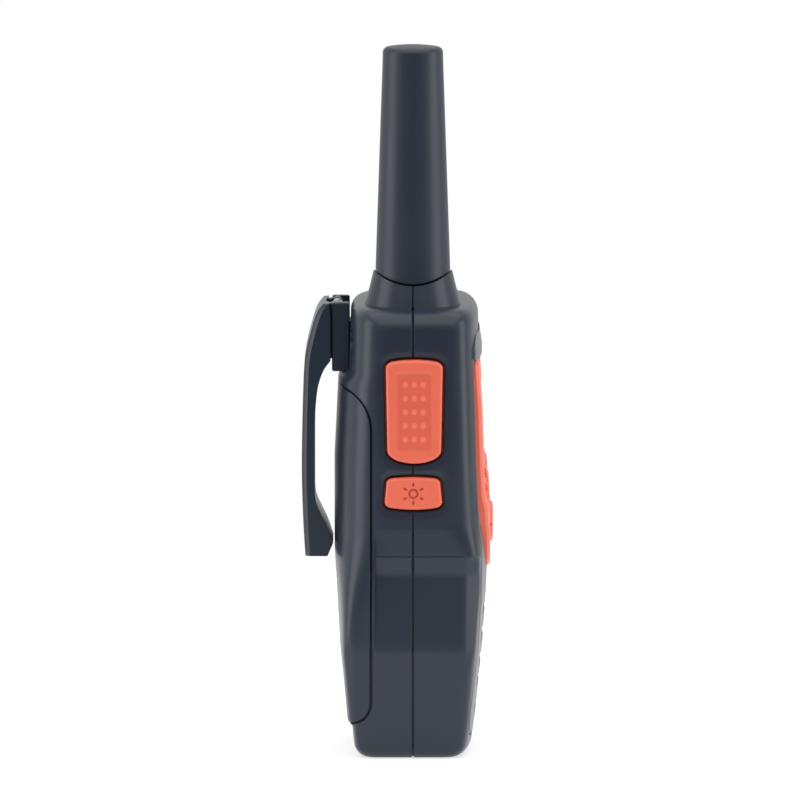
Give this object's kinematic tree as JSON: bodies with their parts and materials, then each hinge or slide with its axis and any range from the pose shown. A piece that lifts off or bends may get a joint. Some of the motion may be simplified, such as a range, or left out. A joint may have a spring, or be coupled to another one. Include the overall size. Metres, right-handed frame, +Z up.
{
  "type": "portable two-way radio",
  "caption": "Compact hand-held two-way radio with a fixed sleeve antenna, side push-to-talk and light buttons, front keypad and display, battery door and sprung belt clip.",
  "frame": {"origin": "centre of the bounding box at the flat bottom the radio stands on", "axes": "+Z up along the antenna, -Y towards the front face with the display, -X towards the push-to-talk button"},
  "size_m": [0.0564, 0.0439, 0.163],
  "materials": {
    "housing_plastic": "fine-textured moulded plastic",
    "orange_plastic": "satin moulded plastic",
    "grey_plastic": "satin moulded plastic",
    "clear_lens": "clear polished window",
    "display": "unlit liquid crystal display",
    "circuit_board": "solder mask",
    "black_rubber": "matt",
    "pale_rubber": "matt",
    "spring_steel": "drawn wire",
    "tin_plate": "plated sheet",
    "copper_wire": "enamelled wire",
    "cell_jacket": "printed film jacket",
    "speaker_mesh": "fine woven dust screen"
  },
  "bodies": {
    "housing": {"front_shell": "housing_plastic", "rear_shell": "housing_plastic", "battery_door": "housing_plastic", "antenna_cover": "housing_plastic", "keypad_bezel": "orange_plastic", "face_plate": "grey_plastic", "lcd_lens": "clear_lens", "lcd_module": "display", "main_board": "circuit_board", "side_board": "circuit_board", "ptt_switch": "black_rubber", "light_switch": "black_rubber", "charge_jack": "black_rubber", "audio_jack": "black_rubber", "keypad_membrane": "pale_rubber", "battery_spring_left": "spring_steel", "battery_spring_middle": "spring_steel", "battery_spring_right": "spring_steel", "housing_screw_top_left": "spring_steel", "housing_screw_top_right": "spring_steel", "housing_screw_bottom_left": "spring_steel", "housing_screw_bottom_right": "spring_steel", "rf_shield": "tin_plate", "speaker": "tin_plate", "microphone": "tin_plate", "battery_contact_left": "tin_plate", "battery_contact_middle": "tin_plate", "battery_contact_right": "tin_plate", "antenna_coil": "copper_wire", "battery_cell_left": "cell_jacket", "battery_cell_middle": "cell_jacket", "battery_cell_right": "cell_jacket", "speaker_cloth": "speaker_mesh"},
    "ptt": {"ptt_button": "orange_plastic"},
    "light": {"light_button": "orange_plastic"},
    "mode_key": {"key_mode": "orange_plastic"},
    "power_key": {"key_power": "orange_plastic"},
    "call_key": {"key_call": "orange_plastic"},
    "up_key": {"key_up": "orange_plastic"},
    "down_key": {"key_down": "orange_plastic"},
    "latch": {"door_latch": "housing_plastic"},
    "jack_flap": {"jack_cover": "black_rubber"},
    "clip_mount": {"clip_bracket": "housing_plastic", "clip_pin": "spring_steel", "clip_spring": "spring_steel"},
    "clip": {"clip_arm": "housing_plastic"}
  },
  "joints": [
    {"name": "ptt_press", "type": "slide", "parent": "housing", "child": "ptt", "axis": [1, 0, 0], "range_m": [0, 0.0012], "stiffness_N_per_m": 500, "springref_m": -0.0006},
    {"name": "light_press", "type": "slide", "parent": "housing", "child": "light", "axis": [1, 0, 0], "range_m": [0, 0.0008], "stiffness_N_per_m": 500, "springref_m": -0.0006},
    {"name": "mode_key_press", "type": "slide", "parent": "housing", "child": "mode_key", "axis": [0, 1, 0], "range_m": [0, 0.0008], "stiffness_N_per_m": 500, "springref_m": -0.0006},
    {"name": "power_key_press", "type": "slide", "parent": "housing", "child": "power_key", "axis": [0, 1, 0], "range_m": [0, 0.0008], "stiffness_N_per_m": 500, "springref_m": -0.0006},
    {"name": "call_key_press", "type": "slide", "parent": "housing", "child": "call_key", "axis": [0, 1, 0], "range_m": [0, 0.0008], "stiffness_N_per_m": 500, "springref_m": -0.0006},
    {"name": "up_key_press", "type": "slide", "parent": "housing", "child": "up_key", "axis": [0, 1, 0], "range_m": [0, 0.0008], "stiffness_N_per_m": 500, "springref_m": -0.0006},
    {"name": "down_key_press", "type": "slide", "parent": "housing", "child": "down_key", "axis": [0, 1, 0], "range_m": [0, 0.0008], "stiffness_N_per_m": 500, "springref_m": -0.0006},
    {"name": "latch_slide", "type": "slide", "parent": "housing", "child": "latch", "axis": [0, 0, 1], "range_m": [0, 0.0022]},
    {"name": "jack_flap_hinge", "type": "hinge", "parent": "housing", "child": "jack_flap", "pos_m": [0.0277, -0.00355, 0.0908], "axis": [0, -1, 0], "range_deg": [0, 110]},
    {"name": "clip_slide", "type": "slide", "parent": "housing", "child": "clip_mount", "axis": [0, 0, 1], "range_m": [0, 0.016]},
    {"name": "clip_swing", "type": "hinge", "parent": "clip_mount", "child": "clip", "pos_m": [0, 0.01375, 0.1024], "axis": [1, 0, 0], "range_deg": [0, 14], "stiffness_Nm_per_rad": 0.1, "springref_deg": -11.46, "deforming": ["clip_spring"]}
  ]
}
